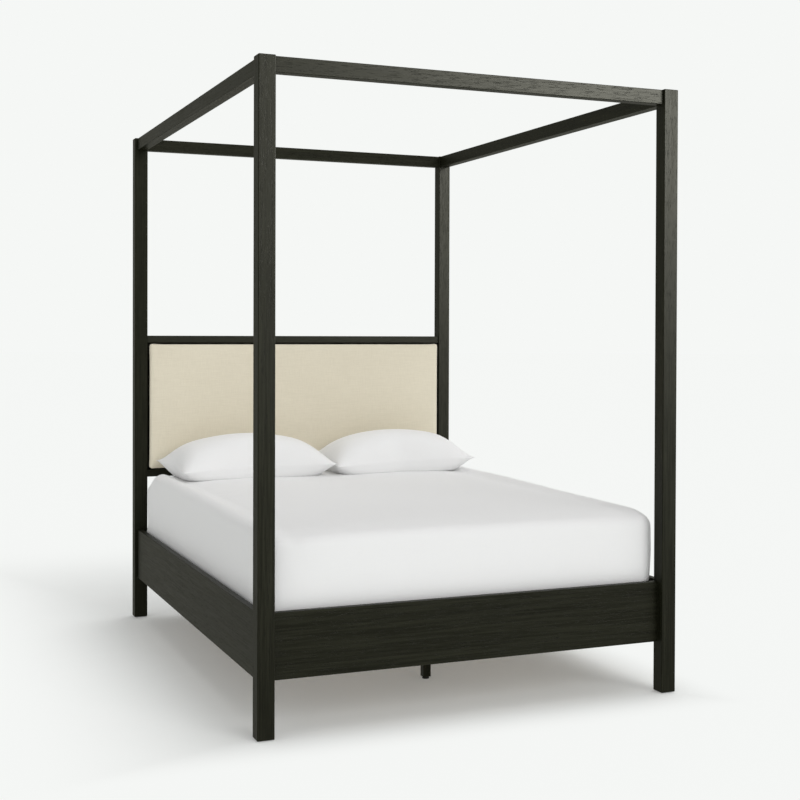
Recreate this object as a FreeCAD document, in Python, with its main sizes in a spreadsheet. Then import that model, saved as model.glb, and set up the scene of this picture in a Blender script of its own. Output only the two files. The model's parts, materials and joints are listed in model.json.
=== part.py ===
"""Four poster canopy bed for a queen mattress: parametric assembly, millimetres, +Z up.

Origin: on the floor, at the middle of the footprint. +X is to the right of somebody standing at
the foot and looking at the headboard, and +Y runs from the foot to the head.
"""
import FreeCAD, Part
import math
import os
import re

import Sketcher
from FreeCAD import Placement, Rotation, Vector

os.makedirs("parts", exist_ok=True)
doc = FreeCAD.newDocument("canopy_bed")

# ------------------------------------------------------------------ driving dimensions
DIMENSIONS = {
    # outer size
    "overall_width": 1630,
    "overall_length": 2200,
    "overall_height": 2280,
    # posts and their floor glides
    "post_side": 60,
    "post_ease": 3,
    "glide_thick": 3,
    "glide_radius": 14,
    "glide_pin_radius": 1.5,
    "glide_pin_long": 14,
    # canopy rails
    "canopy_drop": 2,
    "canopy_tall": 54,
    "canopy_thick": 44,
    "canopy_inset": 12,
    "rail_ease": 2,
    # boards of the lower frame
    "rail_top": 420,
    "rail_tall": 228,
    "rail_thick": 26,
    "side_rail_inset": 13,
    # headboard
    "headboard_top": 1343,
    "headboard_low": 669,
    "headboard_rail_tall": 34,
    "headboard_rail_thick": 38,
    "headboard_rail_inset": 8,
    "pad_side_gap": 8,
    "pad_rail_gap": 5,
    "pad_proud": 12,
    "pad_thick": 35,
    "pad_round": 12,
    "pad_board_thick": 15,
    "pad_board_margin": 12,
    "back_panel_thick": 9,
    "back_panel_margin": 11,
    "spacer_tall": 60,
    # slats and what carries them
    "slat_sink": 40,
    "slat_thick": 20,
    "slat_wide": 68,
    "slat_count": 14,
    "slat_end_gap": 2,
    "slat_edge_gap": 16,
    "cleat_side": 30,
    "beam_thick": 19,
    "beam_tall": 70,
    "beam_end_gap": 3,
    "hanger_sheet": 2,
    "hanger_reach": 38,
    "hanger_flange": 26,
    "hanger_slack": 0.25,
    # centre legs
    "leg_side": 32,
    "leg_pitch": 536,
    "leg_lift": 9,
    "leg_top_gap": 4,
    # levellers
    "stud_radius": 4,
    "stud_long": 42,
    "stud_start": 3,
    "stud_bore": 56,
    "stud_bore_slack": 0.4,
    "insert_radius": 6,
    "insert_long": 25,
    "insert_slack": 0.06,
    "foot_radius": 14,
    "foot_thick": 6,
    # corner brackets of the side rails
    "bracket_sheet": 3,
    "bracket_tall": 115,
    "bracket_low": 207,
    "bracket_post_leg": 20,
    "bracket_rail_leg": 52,
    "bracket_bolt_radius": 3,
    "bracket_bolt_long": 36,
    "bracket_sleeve_radius": 5,
    "bracket_sleeve_long": 14,
    # dowels and screws
    "thick_dowel_radius": 6,
    "thin_dowel_radius": 5,
    "dowel_reach": 24,
    "screw_radius": 2,
    "screw_slack": 0.1,
    "slat_screw_long": 35,
    "slat_screw_sink": 2.2,
    "cleat_screw_long": 46,
    "bracket_screw_long": 18,
    "panel_screw_long": 24,
    "spacer_screw_long": 28,
    "screw_head_radius": 4,
    "screw_head_tall": 2,
    # canopy bolts
    "canopy_bolt_radius": 4,
    "canopy_bolt_in_post": 28,
    "canopy_bolt_in_rail": 68,
    "canopy_bolt_slack": 0.5,
    "canopy_pocket_radius": 14,
    "canopy_pocket_deep": 40,
    "canopy_pocket_from_end": 62,
    "canopy_dowel_rise": 16,
    "canopy_end_reach": 20,
    "canopy_side_reach": 18,
    "canopy_thread_slack": 0.05,
    "canopy_cap_thick": 3,
    # leg bolts
    "leg_bolt_radius": 3,
    "leg_bolt_slack": 0.2,
    "leg_bolt_head_radius": 7,
    "leg_bolt_head_tall": 3.5,
    # mattress and pillows
    "soft_gap": 0.3,
    "mattress_wide": 1536,
    "mattress_long": 2040,
    "mattress_tall": 299.7,
    "mattress_foot_gap": 16,
    "mattress_corner": 60,
    "mattress_edge": 38,
    "pillow_deep": 455,
    "pillow_tall": 205,
    "pillow_head_gap": 22,
    "pillow_corner": 70,
    "pillow_edge": 80,
    "left_pillow_wide": 750,
    "left_pillow_centre": -351,
    "right_pillow_wide": 706,
    "right_pillow_centre": 385,
}

sheet = doc.addObject("Spreadsheet::Sheet", "dims")
for row, (alias, number) in enumerate(DIMENSIONS.items(), start=1):
    sheet.set(f"A{row}", alias.replace("_", " "))
    sheet.set(f"B{row}", str(number))
    sheet.setAlias(f"B{row}", alias)
doc.recompute()

# Places that several pieces share, as expressions of the driving dimensions
INNER_X = "(overall_width / 2 - post_side)"
INNER_Y = "(overall_length / 2 - post_side)"
RAIL_LOW = "(rail_top - rail_tall)"
RAIL_INNER_X = "(overall_width / 2 - side_rail_inset - rail_thick)"
CANOPY_LOW = "(overall_height - canopy_drop - canopy_tall)"
CANOPY_MIDDLE = "(overall_height - canopy_drop - canopy_tall / 2)"
SLAT_TOP = "(rail_top - slat_sink)"
SLAT_LOW = "(rail_top - slat_sink - slat_thick)"
BEAM_LOW = "(rail_top - slat_sink - slat_thick - beam_tall)"
MATTRESS_LOW = "(rail_top - slat_sink + soft_gap)"
MATTRESS_TOP = "(rail_top - slat_sink + soft_gap + mattress_tall)"
PAD_FRONT_Y = "(overall_length / 2 - post_side - pad_proud)"
HEAD_RAIL_FRONT_Y = "(overall_length / 2 - post_side + headboard_rail_inset)"
BACK_PANEL_Y = "(overall_length / 2 - post_side + headboard_rail_inset + headboard_rail_thick)"

# Height of each dowel in the footboard and the head rail, above the rail's lower edge
BOARD_DOWELS = ["rail_tall * 0.12", "rail_tall * 0.38", "rail_tall * 0.62", "rail_tall * 0.86"]
# Dowels in the end of a canopy rail, as places from its lower front edge: side by side in the
# foot and head rails and one above the other in the side rails, so that they miss each other
# inside the post
CANOPY_DOWELS = {
    "X": [("canopy_thick * 0.2", "canopy_tall / 2"), ("canopy_thick * 0.8", "canopy_tall / 2")],
    "Y": [("canopy_thick / 2", "canopy_tall / 2 - canopy_dowel_rise"),
          ("canopy_thick / 2", "canopy_tall / 2 + canopy_dowel_rise")],
}
# Sideways place of the two dowels in a headboard rail, from its front face
PAIR_IN_HEADBOARD = ["headboard_rail_thick * 0.25", "headboard_rail_thick * 0.75"]
# Height of the bolts of a corner bracket, above its lower edge, and of the leg bolts
BRACKET_BOLTS = ["bracket_tall * 0.25", "bracket_tall * 0.75"]
LEG_BOLTS = [f"{BEAM_LOW} + beam_tall * 0.28", f"{BEAM_LOW} + beam_tall * 0.72"]
BRACKET_SCREWS = ["bracket_tall * 0.3", "bracket_tall * 0.7"]
BRACKET_SCREW_Y = "(bracket_rail_leg - 16)"
# Screws of a beam hanger, as places from the middle of the beam's lower edge
HANGER_SCREWS = [(f"{sign}(beam_thick / 2 + hanger_flange * 0.6)", f"beam_tall * {share}")
                 for sign in ("", "0 - ") for share in (0.2, 0.6)]
SCREW_HOLE = "screw_radius + screw_slack"
SLAT_RUN = f"(2 * ({INNER_Y} - slat_edge_gap) - slat_wide)"
# Screws of the headboard's back, along X from the left post's inner face
PANEL_SCREWS = [f"(overall_width - 2 * post_side) * {0.04 + 0.92 * k / 6:.4f}" for k in range(7)]
SPACER_SCREWS = [f"(overall_width - 2 * post_side) * {0.1 + 0.8 * k / 4:.4f}" for k in range(5)]

LEGS = {"foot": "0 - leg_pitch", "middle": "0", "head": "leg_pitch"}
SIDES = {"left": -1, "right": 1}
ENDS = {"foot": -1, "head": 1}
SUBPARTS = []


def ex(text):
    """An expression over the dimension names, as the document's expressions want it."""
    def mark(match):
        word = match.group(0)
        return "dims." + word if word in DIMENSIONS else word
    return re.sub(r"[a-z][a-z_]*", mark, str(text))


def size(text):
    """The number of millimetres that an expression gives."""
    return float(reader.evalExpression(ex(text)))


def keep(item):
    """Register an object as a sub-part, which is written to a file of its own."""
    SUBPARTS.append(item)
    return item


def place(item, at):
    """Bind an object's position to three expressions."""
    for axis, text in zip("xyz", at):
        item.setExpression(f"Placement.Base.{axis}", ex(text))


reader = doc.addObject("App::FeaturePython", "reader")


# ------------------------------------------------------------------ PartDesign helpers
def new_body(label):
    body = doc.addObject("PartDesign::Body", label)
    body.Label = label
    return keep(body)


def new_sketch(body, role, offset="0"):
    """A sketch on one of the body's origin planes, moved along the plane's normal."""
    sketch = body.newObject("Sketcher::SketchObject", body.Name + "_sketch")
    plane = [item for item in body.Origin.OriginFeatures if item.Role == role][0]
    sketch.AttachmentSupport = [(plane, "")]
    sketch.MapMode = "FlatFace"
    sketch.setExpression("AttachmentOffset.Base.z", ex(offset))
    return sketch


def bind(sketch, kind, *where, text):
    """Add a driving constraint whose value is an expression."""
    index = sketch.addConstraint(Sketcher.Constraint(kind, *where, size(text)))
    sketch.setExpression(f"Constraints[{index}]", ex(text))


def outline(sketch, points):
    """A closed outline of straight lines through points given as pairs of expressions."""
    places = [Vector(size(x), size(y), 0) for x, y in points]
    ends = places[1:] + places[:1]
    lines = [sketch.addGeometry(Part.LineSegment(a, b)) for a, b in zip(places, ends)]
    for line, after in zip(lines, lines[1:] + lines[:1]):
        sketch.addConstraint(Sketcher.Constraint("Coincident", line, 2, after, 1))
    for line, (x, y) in zip(lines, points):
        bind(sketch, "DistanceX", -1, 1, line, 1, text=x)
        bind(sketch, "DistanceY", -1, 1, line, 1, text=y)


def rectangle(sketch, wide, tall):
    outline(sketch, [("0", "0"), (wide, "0"), (wide, tall), ("0", tall)])


def circles(sketch, rounds):
    """Full circles, each given as expressions of its centre and radius."""
    for x, y, radius in rounds:
        curve = Part.Circle(Vector(size(x), size(y), 0), Vector(0, 0, 1), size(radius))
        line = sketch.addGeometry(curve)
        bind(sketch, "DistanceX", -1, 1, line, 3, text=x)
        bind(sketch, "DistanceY", -1, 1, line, 3, text=y)
        bind(sketch, "Radius", line, text=radius)


def pad(body, sketch, length, backwards=False):
    feature = body.newObject("PartDesign::Pad", body.Name + "_pad")
    feature.Profile = sketch
    feature.Reversed = backwards
    feature.setExpression("Length", ex(length))
    doc.recompute()
    return feature


def pocket(body, sketch, depth):
    """Cut a sketch into the body, towards whichever side has material."""
    before = body.Shape.Volume
    feature = body.newObject("PartDesign::Pocket", body.Name + "_pocket")
    feature.Profile = sketch
    feature.setExpression("Length", ex(depth))
    doc.recompute()
    if body.Shape.Volume > before - 1:
        feature.Reversed = True
        doc.recompute()
    if body.Shape.Volume > before - 1:
        raise RuntimeError(f"{body.Label}: a pocket cuts nothing")
    return feature


def drill(body, role, offset, rounds, depth):
    sketch = new_sketch(body, role, offset)
    circles(sketch, rounds)
    return pocket(body, sketch, depth)


def ease(body, radius, wanted):
    """Round the edges of the body's last feature for which wanted(edge) is true."""
    base = body.Tip
    names = [f"Edge{i}" for i, edge in enumerate(base.Shape.Edges, start=1) if wanted(edge)]
    feature = body.newObject("PartDesign::Fillet", body.Name + "_fillet")
    feature.Base = (base, names)
    feature.setExpression("Radius", ex(radius))
    doc.recompute()


def runs_along(axis):
    """A test for straight edges that run along an axis."""
    def test(edge):
        if len(edge.Vertexes) != 2:
            return False
        way = edge.Vertexes[1].Point - edge.Vertexes[0].Point
        return way.Length > 0 and abs(way.normalize().dot(axis)) > 0.999
    return test


AXES = {"X": Vector(1, 0, 0), "Y": Vector(0, 1, 0), "Z": Vector(0, 0, 1)}


def board(label, axis, at, across, tall, length, easing=None):
    """A straight board: its section, across by tall, is padded along an axis.

    The board's lowest corner is at `at`. A board along Z has its section in X and Y.
    """
    body = new_body(label)
    sketch = new_sketch(body, {"X": "YZ_Plane", "Y": "XZ_Plane", "Z": "XY_Plane"}[axis])
    rectangle(sketch, across, tall)
    pad(body, sketch, length, backwards=axis == "Y")
    if easing:
        ease(body, easing, runs_along(AXES[axis]))
    place(body, at)
    return body


def group(label, shapes):
    """Identical loose pieces that share one node, each as a solid of its own."""
    item = keep(doc.addObject("Part::Feature", label))
    item.Label = label
    item.Shape = Part.Compound(shapes)
    return item


def rod(start, way, radius, length):
    return Part.makeCylinder(radius, length, Vector(*start), Vector(*way))


def screw(start, way, long):
    """A pan head screw: the head's underside is at start, and the shank goes along way."""
    head = rod(start, [-part for part in way], size("screw_head_radius"), size("screw_head_tall"))
    shank = rod(start, way, size("screw_radius"), size(long))
    return head.fuse(shank).removeSplitter()


def hexagon(start, way, across, thick, bore):
    """A hexagon nut with a plain bore, standing on start and growing along way."""
    corner = across / math.sqrt(3)
    points = [Vector(corner * math.cos(math.radians(60 * k)),
                     corner * math.sin(math.radians(60 * k)), 0) for k in range(7)]
    body = Part.Face(Part.makePolygon(points)).extrude(Vector(0, 0, thick))
    body = body.cut(Part.makeCylinder(bore, thick))
    body.Placement = Placement(Vector(*start), Rotation(Vector(0, 0, 1), Vector(*way)))
    return body


# ------------------------------------------------------------------ posts
def post(side_name, end_name):
    """A square post. Its holes open towards the middle of the bed, in X and in Y."""
    side, end = SIDES[side_name], ENDS[end_name]
    label = f"post_{end_name}_{side_name}"
    body = new_body(label)
    sketch = new_sketch(body, "XY_Plane")
    rectangle(sketch, "post_side", "post_side")
    pad(body, sketch, "overall_height - glide_thick")
    ease(body, "post_ease", lambda edge: True)
    # local place of the faces that look at the middle of the bed
    face_x = "post_side" if side < 0 else "0"
    face_y = "0 - post_side" if end < 0 else "0"

    def from_floor(text):
        return f"{text} - glide_thick"

    def inwards_x(text):
        """A distance from the post's outer Y face, as a local Y place."""
        return text if end < 0 else f"post_side - ({text})"

    def inwards_y(text):
        """A distance from the post's outer X face, as a local X place."""
        return text if side < 0 else f"post_side - ({text})"

    thin = "thin_dowel_radius + 0.1"
    thick = "thick_dowel_radius + 0.1"
    bolt = "canopy_bolt_radius + canopy_thread_slack"
    middle = from_floor(CANOPY_MIDDLE)
    rail_middle = "canopy_inset + canopy_thick / 2"
    board_middle = "post_side - rail_thick / 2"
    holes = [(inwards_x(board_middle), from_floor(f"{RAIL_LOW} + {text}"), thick)
              for text in BOARD_DOWELS]
    if end > 0:
        for text in PAIR_IN_HEADBOARD:
            across = f"post_side - headboard_rail_inset - {text}"
            for low in ("headboard_low", "headboard_top - headboard_rail_tall"):
                holes.append((inwards_x(across), from_floor(f"{low} + headboard_rail_tall / 2"), thin))
    drill(body, "YZ_Plane", face_x, holes, "dowel_reach")
    drill(body, "YZ_Plane", face_x,
          [(inwards_x(f"canopy_inset + {across}"), from_floor(f"{CANOPY_LOW} + {high}"), thin)
           for across, high in CANOPY_DOWELS["X"]], "canopy_end_reach")
    drill(body, "YZ_Plane", face_x, [(inwards_x(rail_middle), middle, bolt)],
          "canopy_bolt_in_post")
    drill(body, "XZ_Plane", face_y,
          [(inwards_y(f"canopy_inset + {across}"), from_floor(f"{CANOPY_LOW} + {high}"), thin)
           for across, high in CANOPY_DOWELS["Y"]], "canopy_side_reach")
    drill(body, "XZ_Plane", face_y, [(inwards_y(rail_middle), middle, bolt)],
          "canopy_side_reach + 2")
    across = inwards_y("side_rail_inset + rail_thick + bracket_post_leg / 2")
    heights = [from_floor(f"bracket_low + {text}") for text in BRACKET_BOLTS]
    drill(body, "XZ_Plane", face_y,
          [(across, text, "bracket_sleeve_radius") for text in heights], "bracket_sleeve_long")
    drill(body, "XZ_Plane", face_y,
          [(across, text, "bracket_bolt_radius + 0.1") for text in heights],
          "bracket_bolt_long")
    drill(body, "XY_Plane", "0", [("post_side / 2", "post_side / 2", "glide_pin_radius + 0.1")],
          "glide_pin_long + 2")
    low_x = "0 - overall_width / 2" if side < 0 else INNER_X
    low_y = "0 - overall_length / 2" if end < 0 else INNER_Y
    place(body, (low_x, low_y, "glide_thick"))


for end_name in ENDS:
    for side_name in SIDES:
        post(side_name, end_name)

glides = []
for side in SIDES.values():
    for end in ENDS.values():
        middle = (side * size("overall_width / 2 - post_side / 2"),
                  end * size("overall_length / 2 - post_side / 2"), 0)
        disc = rod(middle, (0, 0, 1), size("glide_radius"), size("glide_thick"))
        pin = rod(middle, (0, 0, 1), size("glide_pin_radius"), size("glide_thick + glide_pin_long"))
        glides.append(disc.fuse(pin).removeSplitter())
group("post_glides", glides)


# ------------------------------------------------------------------ canopy
def canopy_rail(label, axis, at, length):
    """A top rail with two dowel holes, a bolt hole and a nut pocket at each end."""
    body = board(label, axis, at, "canopy_thick", "canopy_tall", length, "rail_ease")
    role = {"X": "YZ_Plane", "Y": "XZ_Plane"}[axis]
    sign = {"X": "", "Y": "0 - "}[axis]
    middle = "canopy_tall / 2"
    for end in ("0", f"{sign}({length})"):
        drill(body, role, end, [(*spot, "thin_dowel_radius + 0.1") for spot in CANOPY_DOWELS[axis]],
              "dowel_reach")
        drill(body, role, end,
              [("canopy_thick / 2", middle, "canopy_bolt_radius + canopy_bolt_slack")],
              "canopy_pocket_from_end + canopy_pocket_radius / 2")
    centres = []
    for along in ("canopy_pocket_from_end", f"{length} - canopy_pocket_from_end"):
        spot = {"X": (along, "canopy_thick / 2"), "Y": ("canopy_thick / 2", along)}[axis]
        centres.append((*spot, "canopy_pocket_radius"))
    drill(body, "XY_Plane", "canopy_tall", centres, "canopy_pocket_deep")


RAIL_SPAN_X = "(overall_width - 2 * post_side)"
RAIL_SPAN_Y = "(overall_length - 2 * post_side)"
for end_name, end in ENDS.items():
    outer = "0 - overall_length / 2 + canopy_inset"
    inner = "overall_length / 2 - canopy_inset - canopy_thick"
    canopy_rail(f"canopy_rail_{end_name}", "X",
                (f"0 - {INNER_X}", outer if end < 0 else inner, CANOPY_LOW), RAIL_SPAN_X)
for side_name, side in SIDES.items():
    outer = "0 - overall_width / 2 + canopy_inset"
    inner = "overall_width / 2 - canopy_inset - canopy_thick"
    canopy_rail(f"canopy_rail_{side_name}", "Y",
                (outer if side < 0 else inner, f"0 - {INNER_Y}", CANOPY_LOW), RAIL_SPAN_Y)


def canopy_joints():
    """Each canopy joint: a point on the post's face, the way into the rail, the step to a dowel,
    the depth of the dowels and the depth of the bolt in the post."""
    high = size(CANOPY_MIDDLE)
    far_x, far_y = size(INNER_X), size(INNER_Y)
    line_x = size("overall_width / 2 - canopy_inset - canopy_thick / 2")
    line_y = size("overall_length / 2 - canopy_inset - canopy_thick / 2")
    beside, above = Vector(0, size("canopy_thick * 0.3"), 0), Vector(0, 0, size("canopy_dowel_rise"))
    deep, shallow = size("canopy_end_reach"), size("canopy_side_reach")
    for side in SIDES.values():
        for end in ENDS.values():
            yield (Vector(side * far_x, end * line_y, high), Vector(-side, 0, 0), beside,
                   deep, size("canopy_bolt_in_post"))
            yield (Vector(side * line_x, end * far_y, high), Vector(0, -end, 0), above,
                   shallow, shallow + 2)


WASHER_RADIUS, WASHER_THICK, WASHER_BORE = 9, 2, 4.3
NUT_ACROSS, NUT_THICK, NUT_BORE = 13, 6.5, 4.05
WASHER_SEAT = size("canopy_pocket_from_end") - 10.6
canopy_dowels, canopy_bolts, canopy_washers, canopy_nuts, canopy_caps = [], [], [], [], []
for face, way, step, dowel_deep, bolt_deep in canopy_joints():
    for start in (face - step, face + step):
        canopy_dowels.append(rod(start - way * (dowel_deep - 1), way, size("thin_dowel_radius"),
                                 dowel_deep + size("dowel_reach") - 2))
    canopy_bolts.append(rod(face - way * bolt_deep, way, size("canopy_bolt_radius"),
                            bolt_deep + size("canopy_bolt_in_rail")))
    seat = face + way * WASHER_SEAT
    disc = rod(seat, way, WASHER_RADIUS, WASHER_THICK)
    canopy_washers.append(disc.cut(rod(seat, way, WASHER_BORE, WASHER_THICK)))
    canopy_nuts.append(hexagon(seat + way * WASHER_THICK, way, NUT_ACROSS, NUT_THICK, NUT_BORE))
    cap = face + way * size("canopy_pocket_from_end")
    cap.z = size("overall_height - canopy_drop - canopy_cap_thick")
    canopy_caps.append(rod(cap, (0, 0, 1), size("canopy_pocket_radius - 0.1"),
                           size("canopy_cap_thick")))
group("canopy_dowels", canopy_dowels)
group("canopy_bolts", canopy_bolts)
group("canopy_washers", canopy_washers)
group("canopy_nuts", canopy_nuts)
group("canopy_caps", canopy_caps)


# ------------------------------------------------------------------ lower frame
def cross_board(label, low_y):
    """A wide board between two posts, glued on four dowels at each end."""
    body = board(label, "X", (f"0 - {INNER_X}", low_y, RAIL_LOW), "rail_thick", "rail_tall",
                 RAIL_SPAN_X, "rail_ease")
    for end in ("0", RAIL_SPAN_X):
        drill(body, "YZ_Plane", end,
              [("rail_thick / 2", text, "thick_dowel_radius + 0.1") for text in BOARD_DOWELS],
              "dowel_reach")
    inner_face = {"footboard": "0 - rail_thick", "head_rail": "0"}[label]
    drill(body, "XZ_Plane", inner_face,
          [(f"{INNER_X} + {across}", f"{BEAM_LOW} - {RAIL_LOW} + {high}", SCREW_HOLE)
           for across, high in HANGER_SCREWS], "bracket_screw_long")


cross_board("footboard", f"0 - {INNER_Y} - rail_thick")
cross_board("head_rail", INNER_Y)
reach = size("dowel_reach")
group("board_dowels", [
    rod((side * size(INNER_X) - reach + 1, end * size(f"{INNER_Y} + rail_thick / 2"),
         size(f"{RAIL_LOW} + {text}")), (1, 0, 0), size("thick_dowel_radius"), 2 * reach - 2)
    for side in SIDES.values() for end in ENDS.values() for text in BOARD_DOWELS])


def slat_line(number):
    """The middle of a slat along Y, counted from the foot posts' inner faces."""
    return f"(slat_edge_gap + slat_wide / 2 + {SLAT_RUN} * {number} / (slat_count - 1))"


SLAT_LINES = [slat_line(k) for k in range(DIMENSIONS["slat_count"])]
CLEAT_SCREWS = [slat_line(k + 0.5) for k in range(0, DIMENSIONS["slat_count"] - 1, 2)]
CLEAT_MIDDLE = f"({SLAT_LOW} - cleat_side / 2)"

for side_name, side in SIDES.items():
    low_x = f"0 - {RAIL_INNER_X} - rail_thick" if side < 0 else RAIL_INNER_X
    rail = board(f"side_rail_{side_name}", "Y", (low_x, f"0 - {INNER_Y}", RAIL_LOW), "rail_thick",
                 "rail_tall", RAIL_SPAN_Y, "rail_ease")
    inner_face = "rail_thick" if side < 0 else "0"
    near_posts = (BRACKET_SCREW_Y, f"{RAIL_SPAN_Y} - {BRACKET_SCREW_Y}")
    drill(rail, "YZ_Plane", inner_face,
          [(along, f"bracket_low - {RAIL_LOW} + {high}", SCREW_HOLE)
           for along in near_posts for high in BRACKET_SCREWS]
          + [(along, f"{CLEAT_MIDDLE} - {RAIL_LOW}", SCREW_HOLE) for along in CLEAT_SCREWS],
          "bracket_screw_long")
    low_x = f"0 - {RAIL_INNER_X}" if side < 0 else f"{RAIL_INNER_X} - cleat_side"
    cleat = board(f"slat_cleat_{side_name}", "Y",
                  (low_x, f"0 - {INNER_Y}", f"{SLAT_LOW} - cleat_side"),
                  "cleat_side", "cleat_side", RAIL_SPAN_Y, "rail_ease")
    drill(cleat, "YZ_Plane", "0",
          [(along, "cleat_side / 2", SCREW_HOLE) for along in CLEAT_SCREWS], "cleat_side")
    drill(cleat, "XY_Plane", "cleat_side",
          [("cleat_side / 2", along, SCREW_HOLE) for along in SLAT_LINES], "cleat_side * 0.7")


def corner_bracket(side_name, end_name):
    """A steel angle in the corner between a side rail and a post."""
    side, end = SIDES[side_name], ENDS[end_name]
    body = new_body(f"rail_bracket_{end_name}_{side_name}")
    sketch = new_sketch(body, "XY_Plane")
    inward_x = "" if side < 0 else "0 - "
    inward_y = "" if end < 0 else "0 - "

    def spot(x, y):
        return inward_x + x, inward_y + y

    outline(sketch, [
        spot("0", "0"), spot("bracket_post_leg", "0"), spot("bracket_post_leg", "bracket_sheet"),
        spot("bracket_sheet", "bracket_sheet"), spot("bracket_sheet", "bracket_rail_leg"),
        spot("0", "bracket_rail_leg")])
    pad(body, sketch, "bracket_tall")
    across = inward_x + "(bracket_post_leg / 2)"
    drill(body, "XZ_Plane", "0",
          [(across, text, "bracket_bolt_radius + 0.3") for text in BRACKET_BOLTS], "bracket_sheet")
    drill(body, "YZ_Plane", "0",
          [(inward_y + BRACKET_SCREW_Y, text, "screw_radius + 0.3") for text in BRACKET_SCREWS],
          "bracket_sheet")
    place(body, (f"0 - {RAIL_INNER_X}" if side < 0 else RAIL_INNER_X,
                 f"0 - {INNER_Y}" if end < 0 else INNER_Y, "bracket_low"))


for end_name in ENDS:
    for side_name in SIDES:
        corner_bracket(side_name, end_name)

bracket_bolts, bracket_sleeves = [], []
BOLT_HEAD_RADIUS, BOLT_HEAD_TALL = 5, 4
for side in SIDES.values():
    for end in ENDS.values():
        for text in BRACKET_BOLTS:
            face = Vector(side * (size(RAIL_INNER_X) - size("bracket_post_leg") / 2),
                          end * size(INNER_Y), size(f"bracket_low + {text}"))
            way = Vector(0, end, 0)
            under_head = face - way * size("bracket_sheet")
            bolt = rod(under_head, way, size("bracket_bolt_radius"), size("bracket_bolt_long"))
            head = rod(under_head, -way, BOLT_HEAD_RADIUS, BOLT_HEAD_TALL)
            bracket_bolts.append(bolt.fuse(head).removeSplitter())
            sleeve = rod(face, way, size("bracket_sleeve_radius"), size("bracket_sleeve_long"))
            bore = rod(face, way, size("bracket_bolt_radius"), size("bracket_sleeve_long"))
            bracket_sleeves.append(sleeve.cut(bore))
group("bracket_bolts", bracket_bolts)
group("bracket_sleeves", bracket_sleeves)

# ------------------------------------------------------------------ slats and centre support
slats = new_body("slats")
slat_sketch = new_sketch(slats, "XY_Plane")
rectangle(slat_sketch, f"2 * ({RAIL_INNER_X} - slat_end_gap)", "slat_wide")
one_slat = [pad(slats, slat_sketch, "slat_thick")]
near_ends = ("cleat_side / 2 - slat_end_gap",
             f"2 * ({RAIL_INNER_X} - slat_end_gap) - cleat_side / 2 + slat_end_gap")
one_slat.append(drill(slats, "XY_Plane", "slat_thick",
                      [(across, "slat_wide / 2", "screw_head_radius + 0.2") for across in near_ends],
                      "slat_screw_sink"))
one_slat.append(drill(slats, "XY_Plane", "slat_thick",
                      [(across, "slat_wide / 2", SCREW_HOLE) for across in near_ends], "slat_thick"))
row_of_slats = slats.newObject("PartDesign::LinearPattern", "row_of_slats")
row_of_slats.Originals = one_slat
row_of_slats.Direction = ([f for f in slats.Origin.OriginFeatures if f.Role == "Y_Axis"][0], [""])
row_of_slats.setExpression("Length", ex(SLAT_RUN))
row_of_slats.setExpression("Occurrences", ex("slat_count"))
slats.Tip = row_of_slats
place(slats, (f"0 - ({RAIL_INNER_X} - slat_end_gap)", f"0 - ({INNER_Y} - slat_edge_gap)", SLAT_LOW))

board("centre_beam", "Y", ("0 - beam_thick / 2", f"0 - {INNER_Y} + beam_end_gap", BEAM_LOW),
      "beam_thick", "beam_tall", f"{RAIL_SPAN_Y} - 2 * beam_end_gap")


def beam_hanger(end_name):
    """A folded steel hanger: a back plate on the board, and a channel that holds the beam."""
    end = ENDS[end_name]
    body = new_body(f"beam_hanger_{end_name}")
    inside = "(beam_thick / 2 + hanger_slack)"
    outside = "(beam_thick / 2 + hanger_slack + hanger_sheet)"
    plate = new_sketch(body, "XZ_Plane")
    wide = f"({outside[1:-1]} + hanger_flange)"
    high = "beam_tall * 0.8"
    outline(plate, [(f"0 - {wide}", "0 - hanger_sheet"), (wide, "0 - hanger_sheet"),
                    (wide, high), (f"0 - {wide}", high)])
    pad(body, plate, "hanger_sheet", backwards=end < 0)
    channel = new_sketch(body, "XZ_Plane")
    outline(channel, [
        (f"0 - {outside}", "0 - hanger_sheet"), (outside, "0 - hanger_sheet"), (outside, high),
        (inside, high), (inside, "0 - hanger_slack"), (f"0 - {inside}", "0 - hanger_slack"),
        (f"0 - {inside}", high), (f"0 - {outside}", high)])
    pad(body, channel, "hanger_reach", backwards=end < 0)
    drill(body, "XZ_Plane", "0",
          [(across, text, "screw_radius + 0.3") for across, text in HANGER_SCREWS], "hanger_sheet")
    place(body, ("0", f"0 - {INNER_Y}" if end < 0 else INNER_Y, BEAM_LOW))


for end_name in ENDS:
    beam_hanger(end_name)


def centre_leg(name, along):
    """A square leg on the right face of the centre beam, bored from below for its leveller."""
    body = board(f"centre_leg_{name}", "Z",
                 ("beam_thick / 2", f"{along} - leg_side / 2", "leg_lift"), "leg_side", "leg_side",
                 f"{SLAT_LOW} - leg_top_gap - leg_lift", "rail_ease")
    middle = ("leg_side / 2", "leg_side / 2")
    drill(body, "XY_Plane", "0", [(*middle, "insert_radius")], "insert_long")
    drill(body, "XY_Plane", "0", [(*middle, "stud_radius + stud_bore_slack")], "stud_bore")
    drill(body, "YZ_Plane", "0",
          [("leg_side / 2", f"{text} - leg_lift", "leg_bolt_radius + leg_bolt_slack")
           for text in LEG_BOLTS], "leg_side")


for name, along in LEGS.items():
    centre_leg(name, along)

beam = [item for item in SUBPARTS if item.Label == "centre_beam"][0]
drill(beam, "YZ_Plane", "0",
      [(f"{along} + {INNER_Y} - beam_end_gap", f"{text} - {BEAM_LOW}",
        "leg_bolt_radius + leg_bolt_slack") for along in LEGS.values() for text in LEG_BOLTS],
      "beam_thick")

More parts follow.
